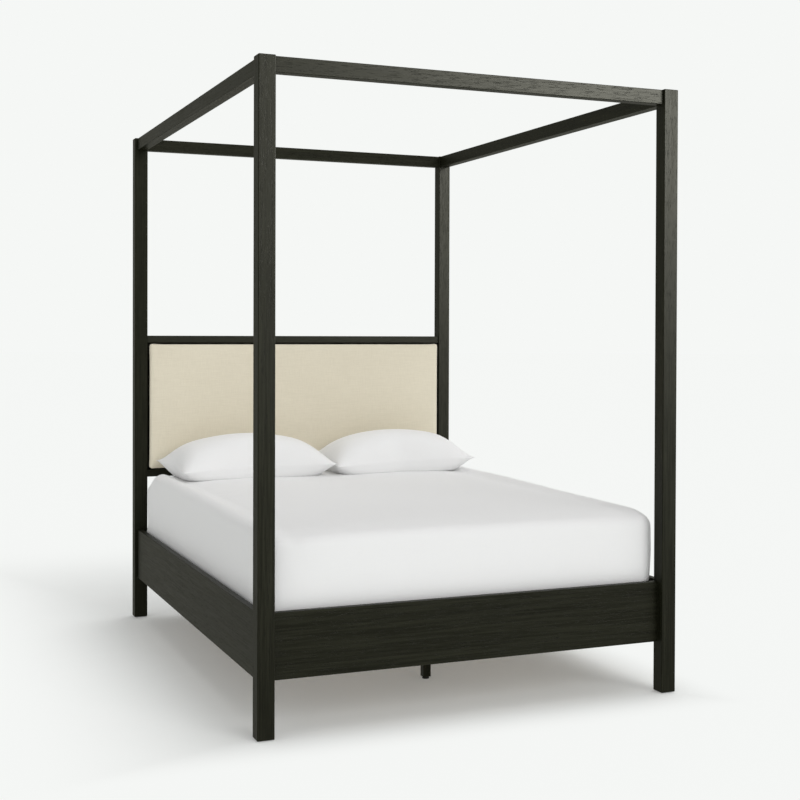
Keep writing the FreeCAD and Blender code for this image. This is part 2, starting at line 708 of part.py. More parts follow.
leg_bolts, leg_nuts, leg_inserts = [], [], []
for along in LEGS.values():
    for text in LEG_BOLTS:
        start = Vector(-size("beam_thick / 2"), size(along), size(text))
        grip = size("beam_thick + leg_side")
        bolt = rod(start, (1, 0, 0), size("leg_bolt_radius"), grip + 7)
        head = rod(start, (-1, 0, 0), size("leg_bolt_head_radius"), size("leg_bolt_head_tall"))
        leg_bolts.append(bolt.fuse(head).removeSplitter())
        leg_nuts.append(hexagon(start + Vector(grip, 0, 0), (1, 0, 0), 10, 5,
                                size("leg_bolt_radius + 0.05")))
    bottom = Vector(size("beam_thick / 2 + leg_side / 2"), size(along), size("leg_lift"))
    sleeve = rod(bottom, (0, 0, 1), size("insert_radius"), size("insert_long"))
    bore = rod(bottom, (0, 0, 1), size("stud_radius + insert_slack"), size("insert_long"))
    leg_inserts.append(sleeve.cut(bore))
group("leg_bolts", leg_bolts)
group("leg_nuts", leg_nuts)
group("leg_inserts", leg_inserts)


def leveller(name, along):
    """A threaded stud, and the round plastic foot that is pressed on its lower end."""
    at = ("beam_thick / 2 + leg_side / 2", along)
    stud = keep(doc.addObject("Part::Cylinder", f"leveller_stud_{name}"))
    stud.setExpression("Radius", ex("stud_radius"))
    stud.setExpression("Height", ex("stud_long"))
    place(stud, (*at, "stud_start"))
    body = new_body(f"leveller_foot_{name}")
    profile = new_sketch(body, "XZ_Plane")
    outline(profile, [
        ("0", "0"), ("foot_radius - 1", "0"), ("foot_radius", "1"),
        ("foot_radius", "foot_thick - 2"), ("foot_radius - 3", "foot_thick"),
        ("stud_radius + 0.03", "foot_thick"), ("stud_radius + 0.03", "stud_start"),
        ("0", "stud_start")])
    turned = body.newObject("PartDesign::Revolution", body.Name + "_turned")
    turned.Profile = profile
    turned.ReferenceAxis = (profile, ["V_Axis"])
    turned.Angle = 360
    place(body, (*at, "0"))


for name, along in LEGS.items():
    leveller(name, along)

# ------------------------------------------------------------------ headboard
PANEL_SCREW_HIGH = {
    "headboard_top_rail": "(headboard_top - headboard_rail_tall * 0.6)",
    "headboard_bottom_rail": "(headboard_low + headboard_rail_tall * 0.6)",
}
for label, low in (("headboard_top_rail", "headboard_top - headboard_rail_tall"),
                   ("headboard_bottom_rail", "headboard_low")):
    rail = board(label, "X", (f"0 - {INNER_X}", HEAD_RAIL_FRONT_Y, low), "headboard_rail_thick",
                 "headboard_rail_tall", RAIL_SPAN_X, "rail_ease")
    for end in ("0", RAIL_SPAN_X):
        drill(rail, "YZ_Plane", end,
              [(text, "headboard_rail_tall / 2", "thin_dowel_radius + 0.1")
               for text in PAIR_IN_HEADBOARD], "dowel_reach")
    drill(rail, "XZ_Plane", "0 - headboard_rail_thick",
          [(along, f"{PANEL_SCREW_HIGH[label]} - ({low})", SCREW_HOLE) for along in PANEL_SCREWS],
          "panel_screw_long - back_panel_thick + 1")

headboard_dowels = []
for side in SIDES.values():
    for low in ("headboard_low", "headboard_top - headboard_rail_tall"):
        for text in PAIR_IN_HEADBOARD:
            start = (side * size(INNER_X) - size("dowel_reach") + 1,
                     size(f"{HEAD_RAIL_FRONT_Y} + {text}"), size(f"{low} + headboard_rail_tall / 2"))
            headboard_dowels.append(rod(start, (1, 0, 0), size("thin_dowel_radius"),
                                        2 * size("dowel_reach") - 2))
group("headboard_dowels", headboard_dowels)

PAD_LOW = "(headboard_low + headboard_rail_tall + pad_rail_gap)"
PAD_HIGH = "(headboard_top - headboard_rail_tall - pad_rail_gap)"
PAD_WIDE = f"(2 * ({INNER_X} - pad_side_gap))"
cushion = board("headboard_pad", "X", (f"0 - {PAD_WIDE} / 2", PAD_FRONT_Y, PAD_LOW), "pad_thick",
                f"{PAD_HIGH} - {PAD_LOW}", PAD_WIDE)
ease(cushion, "pad_round", lambda edge: edge.BoundBox.YMax < 1)
pad_board = board("pad_board", "X",
                  (f"0 - {PAD_WIDE} / 2 + pad_board_margin", f"{PAD_FRONT_Y} + pad_thick",
                   f"{PAD_LOW} + pad_board_margin"), "pad_board_thick",
                  f"{PAD_HIGH} - {PAD_LOW} - 2 * pad_board_margin",
                  f"{PAD_WIDE} - 2 * pad_board_margin")
SPACER_Y = f"({PAD_FRONT_Y} + pad_thick + pad_board_thick)"
SPACER_DEEP = f"({BACK_PANEL_Y} - {SPACER_Y})"
SPACERS = {"lower": f"({PAD_LOW} + 3 * pad_board_margin)",
           "upper": f"({PAD_HIGH} - 3 * pad_board_margin - spacer_tall)"}
for name, low in SPACERS.items():
    spacer = board(f"panel_spacer_{name}", "X",
                   (f"0 - {PAD_WIDE} / 2 + 2 * pad_board_margin", SPACER_Y, low),
                   SPACER_DEEP, "spacer_tall", f"{PAD_WIDE} - 4 * pad_board_margin")
    drill(spacer, "XZ_Plane", "0",
          [(f"{along} - pad_side_gap - 2 * pad_board_margin", "spacer_tall / 2", SCREW_HOLE)
           for along in SPACER_SCREWS], SPACER_DEEP)
    drill(pad_board, "XZ_Plane", "0 - pad_board_thick",
          [(f"{along} - pad_side_gap - pad_board_margin",
            f"{low} + spacer_tall / 2 - {PAD_LOW} - pad_board_margin", SCREW_HOLE)
           for along in SPACER_SCREWS], "pad_board_thick - 3")
BACK_PANEL_LOW = "(headboard_low + back_panel_margin)"
back_panel = board("headboard_back_panel", "X",
                   (f"0 - {INNER_X} + 0.5", BACK_PANEL_Y, BACK_PANEL_LOW), "back_panel_thick",
                   "headboard_top - headboard_low - 2 * back_panel_margin", f"{RAIL_SPAN_X} - 1")
drill(back_panel, "XZ_Plane", "0",
      [(f"{along} - 0.5", f"{high} - {BACK_PANEL_LOW}", SCREW_HOLE)
       for high in PANEL_SCREW_HIGH.values() for along in PANEL_SCREWS]
      + [(f"{along} - 0.5", f"{low} + spacer_tall / 2 - {BACK_PANEL_LOW}", SCREW_HOLE)
         for low in SPACERS.values() for along in SPACER_SCREWS], "back_panel_thick")

# ------------------------------------------------------------------ screws
slat_screws, cleat_screws, bracket_screws = [], [], []
for side in SIDES.values():
    for along in SLAT_LINES:
        start = (side * size(f"{RAIL_INNER_X} - cleat_side / 2"), size(f"{along} - {INNER_Y}"),
                 size(f"{SLAT_TOP} - slat_screw_sink"))
        slat_screws.append(screw(start, (0, 0, -1), "slat_screw_long"))
    for along in CLEAT_SCREWS:
        start = (side * size(f"{RAIL_INNER_X} - cleat_side"), size(f"{along} - {INNER_Y}"),
                 size(CLEAT_MIDDLE))
        cleat_screws.append(screw(start, (side, 0, 0), "cleat_screw_long"))
    for end in ENDS.values():
        for high in BRACKET_SCREWS:
            start = (side * size(f"{RAIL_INNER_X} - bracket_sheet"),
                     end * size(f"{INNER_Y} - {BRACKET_SCREW_Y}"), size(f"bracket_low + {high}"))
            bracket_screws.append(screw(start, (side, 0, 0), "bracket_screw_long"))
for end in ENDS.values():
    for across, high in HANGER_SCREWS:
        start = (size(across), end * size(f"{INNER_Y} - hanger_sheet"), size(f"{BEAM_LOW} + {high}"))
        bracket_screws.append(screw(start, (0, end, 0), "bracket_screw_long"))
group("slat_screws", slat_screws)
group("cleat_screws", cleat_screws)
group("bracket_screws", bracket_screws)


def back_screws(label, heights, places, long):
    """Screws driven forward through the headboard's back panel."""
    back = size(f"{BACK_PANEL_Y} + back_panel_thick")
    group(label, [screw((size(f"{along} - {INNER_X}"), back, size(high)), (0, -1, 0), long)
                  for high in heights for along in places])


back_screws("panel_screws", PANEL_SCREW_HIGH.values(), PANEL_SCREWS, "panel_screw_long")
back_screws("spacer_screws", [f"{low} + spacer_tall / 2" for low in SPACERS.values()],
            SPACER_SCREWS, "spacer_screw_long")

# ------------------------------------------------------------------ mattress and pillows


def soft_block(label, at, wide, deep, tall, corner, edge):
    """A plain closed block with rounded upright corners and rounded top and bottom edges."""
    body = new_body(label)
    sketch = new_sketch(body, "XY_Plane")
    rectangle(sketch, wide, deep)
    pad(body, sketch, tall)
    ease(body, corner, runs_along(AXES["Z"]))
    high = size(tall)
    ease(body, edge, lambda line: line.BoundBox.ZMax < 0.01 or line.BoundBox.ZMin > high - 0.01)
    place(body, at)


soft_block("mattress", ("0 - mattress_wide / 2", f"0 - {INNER_Y} + mattress_foot_gap", MATTRESS_LOW),
           "mattress_wide", "mattress_long", "mattress_tall", "mattress_corner", "mattress_edge")
for side_name in SIDES:
    wide = f"{side_name}_pillow_wide"
    soft_block(f"pillow_{side_name}",
               (f"{side_name}_pillow_centre - {wide} / 2",
                f"{PAD_FRONT_Y} - pillow_head_gap - pillow_deep", f"{MATTRESS_TOP} + soft_gap"),
               wide, "pillow_deep", "pillow_tall", "pillow_corner", "pillow_edge")

# ------------------------------------------------------------------ check and write
doc.recompute()
for item in doc.Objects:
    if "Invalid" in item.State or "Error" in item.State:
        raise RuntimeError(f"{item.Name}: {item.State}")
for item in SUBPARTS:
    if item.Shape.isNull() or not item.Shape.isValid() or not item.Shape.Solids:
        raise RuntimeError(f"{item.Label}: no valid solid")
for item in SUBPARTS:
    item.Shape.exportStep(f"parts/{item.Label}.step")
whole = Part.Compound([item.Shape for item in SUBPARTS]).BoundBox
print(f"{len(SUBPARTS)} sub-parts, {whole.XLength:.1f} x {whole.YLength:.1f} x {whole.ZLength:.1f} mm,"
      f" floor at z = {whole.ZMin:.2f}")
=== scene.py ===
"""Looks of the four poster canopy bed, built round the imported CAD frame. Metres, +Z up."""

import json
import math

import bmesh
import bpy
import numpy as np
from mathutils import Matrix, Vector

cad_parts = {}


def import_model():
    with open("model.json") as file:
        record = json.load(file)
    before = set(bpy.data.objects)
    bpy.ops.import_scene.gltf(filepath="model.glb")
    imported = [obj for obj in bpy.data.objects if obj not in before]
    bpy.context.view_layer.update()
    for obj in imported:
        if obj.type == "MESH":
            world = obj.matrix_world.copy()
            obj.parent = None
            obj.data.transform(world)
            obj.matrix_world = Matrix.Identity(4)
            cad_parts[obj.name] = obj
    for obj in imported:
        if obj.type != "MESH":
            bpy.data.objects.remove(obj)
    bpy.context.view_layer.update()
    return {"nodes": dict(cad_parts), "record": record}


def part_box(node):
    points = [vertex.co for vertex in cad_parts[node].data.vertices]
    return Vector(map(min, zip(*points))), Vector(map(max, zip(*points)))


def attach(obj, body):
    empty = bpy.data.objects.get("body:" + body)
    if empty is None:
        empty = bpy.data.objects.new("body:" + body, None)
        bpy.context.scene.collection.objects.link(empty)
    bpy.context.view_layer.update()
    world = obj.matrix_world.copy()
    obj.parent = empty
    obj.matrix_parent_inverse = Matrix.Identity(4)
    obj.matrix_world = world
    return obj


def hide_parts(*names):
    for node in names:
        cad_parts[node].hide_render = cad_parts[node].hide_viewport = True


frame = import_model()
scene = bpy.context.scene
nodes = frame["nodes"]
# the sockets of a Mix node that mixes colours: how much of the second, and the two colours
SHARE, FIRST, SECOND = 0, 6, 7


# ------------------------------------------------------------------ camera, light and floor
def camera():
    """The photograph's camera: where it stands, where it looks and its framing."""
    yaw, pitch, roll = math.radians(23.582), math.radians(-0.667), math.radians(0.197)
    ahead = Vector((math.sin(yaw) * math.cos(pitch), math.cos(yaw) * math.cos(pitch),
                    math.sin(pitch)))
    level = Vector((math.cos(yaw), -math.sin(yaw), 0))
    above = level.cross(ahead)
    right = level * math.cos(roll) + above * math.sin(roll)
    up = above * math.cos(roll) - level * math.sin(roll)
    data = bpy.data.cameras.new("camera")
    data.sensor_width = 36
    data.lens = 60.98
    data.shift_x = -0.0573
    data.shift_y = -0.0634
    data.clip_end = 200
    item = bpy.data.objects.new("camera", data)
    scene.collection.objects.link(item)
    turn = Matrix((right, up, -ahead)).transposed().to_4x4()
    item.matrix_world = Matrix.Translation((-2.036, -5.4467, 1.3581)) @ turn
    scene.camera = item


def sun(name, towards, strength, spread):
    """A soft distant light that comes from the direction `towards`."""
    data = bpy.data.lights.new(name, "SUN")
    data.energy = strength * math.pi
    data.angle = math.radians(spread)
    item = bpy.data.objects.new(name, data)
    item.rotation_euler = Vector(towards).to_track_quat("Z", "Y").to_euler()
    scene.collection.objects.link(item)


def softbox(name, place, towards, wide, tall, radiance, sheen_on):
    """A large light with even brightness over its face, which shows only as the sheen of the
    named pieces."""
    data = bpy.data.lights.new(name, "AREA")
    data.shape = "RECTANGLE"
    data.size = wide
    data.size_y = tall
    data.energy = radiance * math.pi * wide * tall
    item = bpy.data.objects.new(name, data)
    item.location = place
    item.rotation_euler = (Vector(place) - Vector(towards)).to_track_quat("Z", "Y").to_euler()
    item.visible_diffuse = False
    lit = bpy.data.collections.new(name + "_shows_on")
    for piece in sheen_on:
        lit.objects.link(nodes[piece])
    item.light_linking.receiver_collection = lit
    scene.collection.objects.link(item)


WALL = (0.915, 0.93, 0.915)
AMBIENT = 0.376
DARKER_SIDE = 0.9


def world():
    """White surroundings: an even soft light, and a plain pale background. Reflections show the
    room a little warmer and brighter than its light is."""
    item = bpy.data.worlds.new("studio")
    scene.world = item
    item.use_nodes = True
    tree = item.node_tree
    tree.nodes.clear()
    output = tree.nodes.new("ShaderNodeOutputWorld")
    mix = tree.nodes.new("ShaderNodeMixShader")
    seen = tree.nodes.new("ShaderNodeLightPath")
    # the room is darker beyond the bed's left side
    light = tree.nodes.new("ShaderNodeBackground")
    towards = tree.nodes.new("ShaderNodeTexCoord")
    facing = tree.nodes.new("ShaderNodeVectorMath")
    facing.operation = "DOT_PRODUCT"
    facing.inputs[1].default_value = (-0.40, 0.92, 0)
    level = tree.nodes.new("ShaderNodeMapRange")
    level.inputs["From Min"].default_value = 0.2
    level.inputs["From Max"].default_value = 1
    level.inputs["To Min"].default_value = AMBIENT
    level.inputs["To Max"].default_value = AMBIENT * DARKER_SIDE
    tree.links.new(towards.outputs["Generated"], facing.inputs[0])
    tree.links.new(facing.outputs["Value"], level.inputs["Value"])
    warm = tree.nodes.new("ShaderNodeMix")
    warm.data_type = "RGBA"
    warm.inputs[FIRST].default_value = (1, 1, 0.99, 1)
    warm.inputs[SECOND].default_value = (1.2, 1.2, 1.06, 1)
    tree.links.new(seen.outputs["Is Glossy Ray"], warm.inputs[SHARE])
    tree.links.new(warm.outputs[2], light.inputs["Color"])
    tree.links.new(level.outputs[0], light.inputs["Strength"])
    wall = tree.nodes.new("ShaderNodeBackground")
    wall.inputs["Color"].default_value = (*WALL, 1)
    tree.links.new(seen.outputs["Is Camera Ray"], mix.inputs[0])
    tree.links.new(light.outputs[0], mix.inputs[1])
    tree.links.new(wall.outputs[0], mix.inputs[2])
    tree.links.new(mix.outputs[0], output.inputs[0])


# ------------------------------------------------------------------ material helpers
class Maker:
    """A new material with short ways to add and join its nodes."""

    def __init__(self, name):
        self.material = bpy.data.materials.new(name)
        self.material.use_nodes = True
        self.tree = self.material.node_tree
        self.shader = self.tree.nodes["Principled BSDF"]
        self.output = self.tree.nodes["Material Output"]

    def node(self, kind, inputs=None, **settings):
        item = self.tree.nodes.new("ShaderNode" + kind)
        for key, value in settings.items():
            setattr(item, key, value)
        for key, value in (inputs or {}).items():
            if isinstance(value, bpy.types.NodeSocket):
                self.tree.links.new(value, item.inputs[key])
            else:
                item.inputs[key].default_value = value
        return item

    def place(self, stretch=(1, 1, 1), shift=(0, 0, 0)):
        """Positions in the object's own frame, stretched."""
        where = self.node("TexCoord").outputs["Object"]
        return self.node("Mapping", {"Vector": where, "Location": shift,
                                     "Scale": stretch}).outputs[0]

    def noise(self, vector, scale, detail=4, rough=0.5, distortion=0):
        return self.node("TexNoise", {"Vector": vector, "Scale": scale, "Detail": detail,
                                      "Roughness": rough, "Distortion": distortion}).outputs[0]

    def between(self, value, low, high, to_low=0.0, to_high=1.0):
        return self.node("MapRange", {"Value": value, "From Min": low, "From Max": high,
                                      "To Min": to_low, "To Max": to_high}).outputs[0]

    def math(self, kind, a, b=0.0):
        return self.node("Math", {0: a, 1: b}, operation=kind).outputs[0]

    def mix(self, share, a, b):
        item = self.node("Mix", data_type="RGBA")
        for key, value in ((SHARE, share), (FIRST, a), (SECOND, b)):
            if isinstance(value, bpy.types.NodeSocket):
                self.tree.links.new(value, item.inputs[key])
            else:
                item.inputs[key].default_value = value
        return item.outputs[2]

    def bump(self, height, distance, strength=1.0, before=None):
        inputs = {"Height": height, "Distance": distance, "Strength": strength}
        if before is not None:
            inputs["Normal"] = before
        return self.node("Bump", inputs).outputs[0]

    def finish(self, colour=None, rough=None, normal=None, **plain):
        for key, value in (("Base Color", colour), ("Roughness", rough), ("Normal", normal)):
            if isinstance(value, bpy.types.NodeSocket):
                self.tree.links.new(value, self.shader.inputs[key])
            elif value is not None:
                self.shader.inputs[key].default_value = value
        for key, value in plain.items():
            self.shader.inputs[key.replace("_", " ")].default_value = value
        return self.material


def wood(name, axis, seed, dark, light, pore, rough=(0.38, 0.52), dull_top=False):
    """Straight open-grained wood whose grain runs along an axis. A dull top is an upper face that
    is out of reach of polishing."""
    make = Maker(name)
    along = "XYZ".index(axis)

    def stretched(share):
        return tuple(share if k == along else 1 for k in range(3))

    shift = (seed * 1.37, seed * 2.11, seed * 0.73)
    figure = make.noise(make.place(stretched(0.06), shift), 22, 3, 0.55, 0.9)
    streak = make.noise(make.place(stretched(0.025), shift), 160, 4, 0.6)
    fibre = make.noise(make.place(stretched(0.02), shift), 900, 2, 0.6)
    pores = make.noise(make.place(stretched(0.05), shift), 520, 2, 0.4)
    tone = make.math("ADD", make.between(figure, 0.35, 0.65, 0, 0.35),
                     make.between(streak, 0.40, 0.62, 0, 0.65))
    colour = make.mix(tone, (*dark, 1), (*light, 1))
    hole = make.between(pores, 0.60, 0.68)
    colour = make.mix(make.math("MULTIPLY", hole, 0.75), colour, (*pore, 1))
    depth = make.math("SUBTRACT", make.math("MULTIPLY", fibre, 0.35), hole)
    depth = make.math("ADD", depth, make.math("MULTIPLY", streak, 0.8))
    normal = make.bump(depth, 0.0004, 0.6)
    dullness = make.math("ADD", streak, make.math("MULTIPLY", hole, 0.3))
    shine = make.between(dullness, 0.35, 0.8, *rough)
    if dull_top:
        facing = make.node("NewGeometry").outputs["True Normal"]
        up = make.node("SeparateXYZ", {0: facing}).outputs["Z"]
        shine = make.math("MAXIMUM", shine, make.between(up, 0.6, 0.95, 0, 1))
    return make.finish(colour, shine, normal, IOR=1.15, Specular_IOR_Level=0.9,
                       Specular_Tint=(1.0, 0.99, 0.86, 1))


def cloth(name, colour, shade, pitch, weave, slub, sheen, rough):
    """Plain woven cloth, whose threads run along the axes. pitch is from thread to thread, weave
    is the threads' relief, and a small slub makes the streaks stand out more."""
    make = Maker(name)
    place = make.place()
    threads = [make.node("TexWave", {"Vector": place, "Scale": 1 / pitch / 3.1, "Distortion": 0.8,
                                     "Detail": 1, "Detail Scale": 3},
                         wave_type="BANDS", bands_direction=axis).outputs[1] for axis in "XYZ"]
    height = make.math("ADD", make.math("ADD", threads[0], threads[1]), threads[2])
    lying = make.noise(make.place((6, 6, 90)), 3.5, 4, 0.6)
    standing = make.noise(make.place((90, 90, 6)), 3.5, 4, 0.6)
    cloud = make.noise(place, 3.0, 3)
    streaks = make.math("ADD", make.math("MULTIPLY", lying, 0.4),
                        make.math("MULTIPLY", standing, 0.4))
    streaks = make.math("ADD", streaks, make.math("MULTIPLY", cloud, 0.2))
    tone = make.between(streaks, 0.5 - slub, 0.5 + slub)
    body = make.mix(tone, (*shade, 1), (*colour, 1))
    normal = make.bump(height, weave, 0.5)
    normal = make.bump(streaks, weave * 3, 0.5, normal)
    return make.finish(body, make.between(streaks, 0.3, 0.7, rough - 0.04, rough + 0.04), normal,
                       Sheen_Weight=sheen, Sheen_Roughness=0.5, Specular_IOR_Level=0.25)


def metal(name):
    """Zinc-plated steel with fine brush marks."""
    make = Maker(name)
    brushed = make.noise(make.place((1, 1, 0.04)), 1500, 3, 0.6)
    patch = make.noise(make.place(), 40, 3)
    colour = make.mix(make.between(patch, 0.3, 0.7), (0.36, 0.37, 0.38, 1), (0.52, 0.52, 0.51, 1))
    return make.finish(colour, make.between(brushed, 0.3, 0.7, 0.28, 0.46),
                       make.bump(brushed, 0.0001, 0.4), Metallic=1.0)


def plastic(name):
    """Black moulded plastic with a fine grain."""
    make = Maker(name)
    grain = make.noise(make.place(), 1800, 2, 0.5)
    patch = make.noise(make.place(), 60, 2)
    colour = make.mix(make.between(patch, 0.3, 0.7), (0.012, 0.012, 0.012, 1),
                      (0.02, 0.02, 0.019, 1))
    return make.finish(colour, make.between(grain, 0.3, 0.7, 0.42, 0.58),
                       make.bump(grain, 0.0001, 0.4))


# ------------------------------------------------------------------ floor
def floor():
    """A pale floor that fades into the background far from the object. Its glow is painted light,
    which also washes out the bed's cast shadow in front and on the right.
    """
    mesh = bpy.data.meshes.new("floor")
    item = bpy.data.objects.new("floor", mesh)
    scene.collection.objects.link(item)
    shape = bmesh.new()
    rings, spokes = (0.5, 2, 5, 12, 30, 90), 64
    centre = shape.verts.new((0, 0, 0))
    before = None
    for radius in rings:
        ring = [shape.verts.new((radius * math.cos(2 * math.pi * k / spokes),
                                 radius * math.sin(2 * math.pi * k / spokes), 0))
                for k in range(spokes)]
        for k in range(spokes):
            nearer = [centre] if before is None else [before[k], before[(k + 1) % spokes]][::-1]
            shape.faces.new([ring[k], ring[(k + 1) % spokes]] + nearer)
        before = ring
    shape.to_mesh(mesh)
    shape.free()
    make = Maker("floor_paint_and_glow")
    where = make.node("TexCoord").outputs["Object"]
    side = make.node("SeparateXYZ", {0: where}).outputs
    speckle = make.noise(make.place(), 5, 3)
    colour = make.mix(make.between(speckle, 0.3, 0.7), (0.965, 0.98, 0.965, 1),
                      (0.98, 0.995, 0.98, 1))
    painted = make.node("BsdfDiffuse", {"Color": colour}).outputs[0]
    # painted light: a glow of the background's colour, mixed into the floor by position below
    painted_glow = make.node("Emission", {"Color": (*WALL, 1), "Strength": 1.0}).outputs[0]
    # painted light: the floor's glow rises at once in front and on the right, where it washes out
    # the bed's cast shadow, and slowly on the left, where the bed's soft shadow falls
    away = None
    for value, near, clear in ((side["X"], -0.82, -1.58), (side["X"], 0.72, 1.02),
                               (side["Y"], -1.02, -1.35), (side["Y"], 1.2, 3.4)):
        gone = make.between(value, near, clear)
        gone.node.interpolation_type = "SMOOTHSTEP"
        away = gone if away is None else make.math("MAXIMUM", away, gone)
    share = make.between(away, 0, 1, 0.16, 0.96)
    blend = make.node("MixShader", {0: share, 1: painted, 2: painted_glow}).outputs[0]
    make.tree.links.new(blend, make.output.inputs["Surface"])
    item.data.materials.append(make.material)
    item.visible_glossy = False


scene.view_settings.view_transform = "Standard"
camera()
world()
# one card in front on the right, at the strength that suits each piece
CARD_PLACE, CARD_TOWARDS, CARD_WIDE, CARD_TALL = (3.8, -4.9, 3.3), (0.5, -0.9, 2.1), 4.2, 2.4
for strength, pieces in ((33, ("canopy_rail_foot", "post_foot_left")),
                         (23, ("post_foot_right", "post_head_right")),
                         (17, ("footboard", "headboard_top_rail"))):
    softbox(f"sheen_card_{strength}", CARD_PLACE, CARD_TOWARDS, CARD_WIDE, CARD_TALL, strength,
            pieces)
sun("front_light", (0.25, -0.85, 0.42), 0.37, 40)
sun("left_light", (-0.85, -0.25, 0.45), 0.08, 60)
sun("top_light", (0.25, 0.15, 1.0), 0.22, 60)
sun("back_light", (0.55, 0.45, 0.80), 0.08, 50)
floor()

# ------------------------------------------------------------------ materials on the CAD nodes
DARK, LIGHT, PORE = (0.0062, 0.0066, 0.0033), (0.0164, 0.0171, 0.0098), (0.0030, 0.0034, 0.0020)
PALE, PALER, PALE_PORE = (0.42, 0.28, 0.15), (0.62, 0.45, 0.27), (0.26, 0.16, 0.08)
SANDED = (0.5, 0.65)
# which way the grain runs, by the start of the piece's name
GRAIN = {"post": "Z", "canopy_rail_foot": "X", "canopy_rail_head": "X", "canopy_rail": "Y",
         "headboard": "X", "footboard": "X", "head_rail": "X", "side_rail": "Y", "centre_beam": "Y",
         "centre_leg": "Z", "slats": "X", "slat_cleat": "Y", "pad_board": "X", "panel_spacer": "X"}
steel, black_plastic = metal("zinc_steel"), plastic("black_plastic")
slots = {item["node"]: item["material_slot"] for item in frame["record"]["subparts"]}
dowel_wood = wood("dowel_wood", "X", 3, PALE, PALER, PALE_PORE, SANDED)


def finish_for(name, seed):
    """The material of a CAD node: its record's slot says what it is made of."""
    what = slots[name]
    if what == "steel":
        return steel
    if what == "dark_plastic":
        return black_plastic
    if name.endswith("dowels"):
        return dowel_wood
    axis = next(way for start, way in GRAIN.items() if name.startswith(start))
    if what == "plain_wood":
        return wood(name + "_wood", axis, seed, PALE, PALER, PALE_PORE, SANDED)
    return wood(name + "_wood", axis, seed, DARK, LIGHT, PORE,
                dull_top=name.startswith("canopy_rail"))


SOFT = ("mattress", "pillow_left", "pillow_right", "headboard_pad")
for seed, name in enumerate(sorted(nodes)):
    if name not in SOFT:
        nodes[name].data.materials.clear()
        nodes[name].data.materials.append(finish_for(name, seed))

linen = cloth("linen", (0.82, 0.76, 0.615), (0.73, 0.67, 0.53), 0.0016, 0.0003, 0.16, 0.25, 0.85)
percale = cloth("percale", (0.87, 0.87, 0.87), (0.845, 0.845, 0.842),
                0.0006, 0.00006, 0.3, 0.3, 0.8)
pillowcase = cloth("pillowcase", (0.905, 0.905, 0.905), (0.88, 0.88, 0.877),
                   0.0006, 0.00006, 0.3, 0.3, 0.8)
ticking = cloth("ticking", (0.78, 0.77, 0.74), (0.70, 0.69, 0.66), 0.0012, 0.0002, 0.2, 0.1, 0.85)


# ------------------------------------------------------------------ soft pieces
def new_object(name, mesh):
    item = bpy.data.objects.new(name, mesh)
    scene.collection.objects.link(item)
    return item


def coords(mesh):
    out = np.zeros(len(mesh.vertices) * 3)
    mesh.vertices.foreach_get("co", out)
    return out.reshape(-1, 3)


def set_coords(mesh, places):
    mesh.vertices.foreach_set("co", np.asarray(places, float).ravel())
    mesh.update()


def apply_modifiers(item):
    """Put what the modifiers give into the mesh itself."""
    graph = bpy.context.evaluated_depsgraph_get()
    done = bpy.data.meshes.new_from_object(item.evaluated_get(graph))
    item.modifiers.clear()
    item.data = done


def puff(item, pressure, cap, frames=20, tension=15.0, bending=0.5):
    """Inflate a closed skin as cloth, with no gravity, moving no point by more than cap."""
    rest = coords(item.data)
    modifier = item.modifiers.new("cloth", "CLOTH")
    settings = modifier.settings
    settings.quality = 6
    settings.mass = 0.3
    settings.tension_stiffness = tension
    settings.compression_stiffness = tension
    settings.shear_stiffness = tension / 3
    settings.bending_stiffness = bending
    settings.use_pressure = True
    settings.uniform_pressure_force = pressure
    settings.effector_weights.gravity = 0
    modifier.collision_settings.use_collision = False
    modifier.point_cache.frame_start = 1
    modifier.point_cache.frame_end = frames
    for number in range(1, frames + 1):
        scene.frame_set(number)
    graph = bpy.context.evaluated_depsgraph_get()
    blown = coords(item.evaluated_get(graph).data)
    scene.frame_set(1)
    item.modifiers.remove(modifier)
    step = blown - rest
    far = np.linalg.norm(step, axis=1, keepdims=True).clip(1e-9)
    set_coords(item.data, rest + step / far * cap * np.tanh(far / cap))


def fit(item, low, high):
    """Stretch a piece so that it just fills a box."""
    at = coords(item.data)
    least, most = at.min(0), at.max(0)
    low, high = np.array(low), np.array(high)
    set_coords(item.data, low + (at - least) * (high - low) / (most - least))


def smooth(item, levels):
    """Subdivide, and shade the result smooth."""
    if levels:
        modifier = item.modifiers.new("subdivision", "SUBSURF")
        modifier.levels = modifier.render_levels = levels
        apply_modifiers(item)
    for face in item.data.polygons:
        face.use_smooth = True


def rounded_block(name, low, high, corner, edges, voxel, upright="Z"):
    """A block remeshed into even squares. edges are the radii at its low and high ends."""
    mesh = bpy.data.meshes.new(name)
    shape = bmesh.new()
    bmesh.ops.create_cube(shape, size=1)
    middle, span = (Vector(low) + Vector(high)) / 2, Vector(high) - Vector(low)
    for vert in shape.verts:
        vert.co = Vector([middle[k] + vert.co[k] * span[k] for k in range(3)])
    axis = "XYZ".index(upright)

    def along(line):
        way = line.verts[1].co - line.verts[0].co
        return abs(way.normalized()[axis]) > 0.99

    bmesh.ops.bevel(shape, geom=[line for line in shape.edges if along(line)], offset=corner,
                    segments=8, affect="EDGES", profile=0.5)
    for end, edge in zip((-1, 1), edges):
        caps = [face for face in shape.faces if face.normal[axis] * end > 0.9]
        rim = list({line for face in caps for line in face.edges})
        bmesh.ops.bevel(shape, geom=rim, offset=edge, segments=6, affect="EDGES", profile=0.5)
    shape.to_mesh(mesh)
    shape.free()
    item = new_object(name, mesh)
    modifier = item.modifiers.new("remesh", "REMESH")
    modifier.mode = "VOXEL"
    modifier.voxel_size = voxel
    apply_modifiers(item)
    return item


def smoothstep(value):
    value = np.clip(value, 0, 1)
    return value * value * (3 - 2 * value)


# ------------------------------------------------------------------ mattress and fitted sheet
SLAT_TOP = 0.380


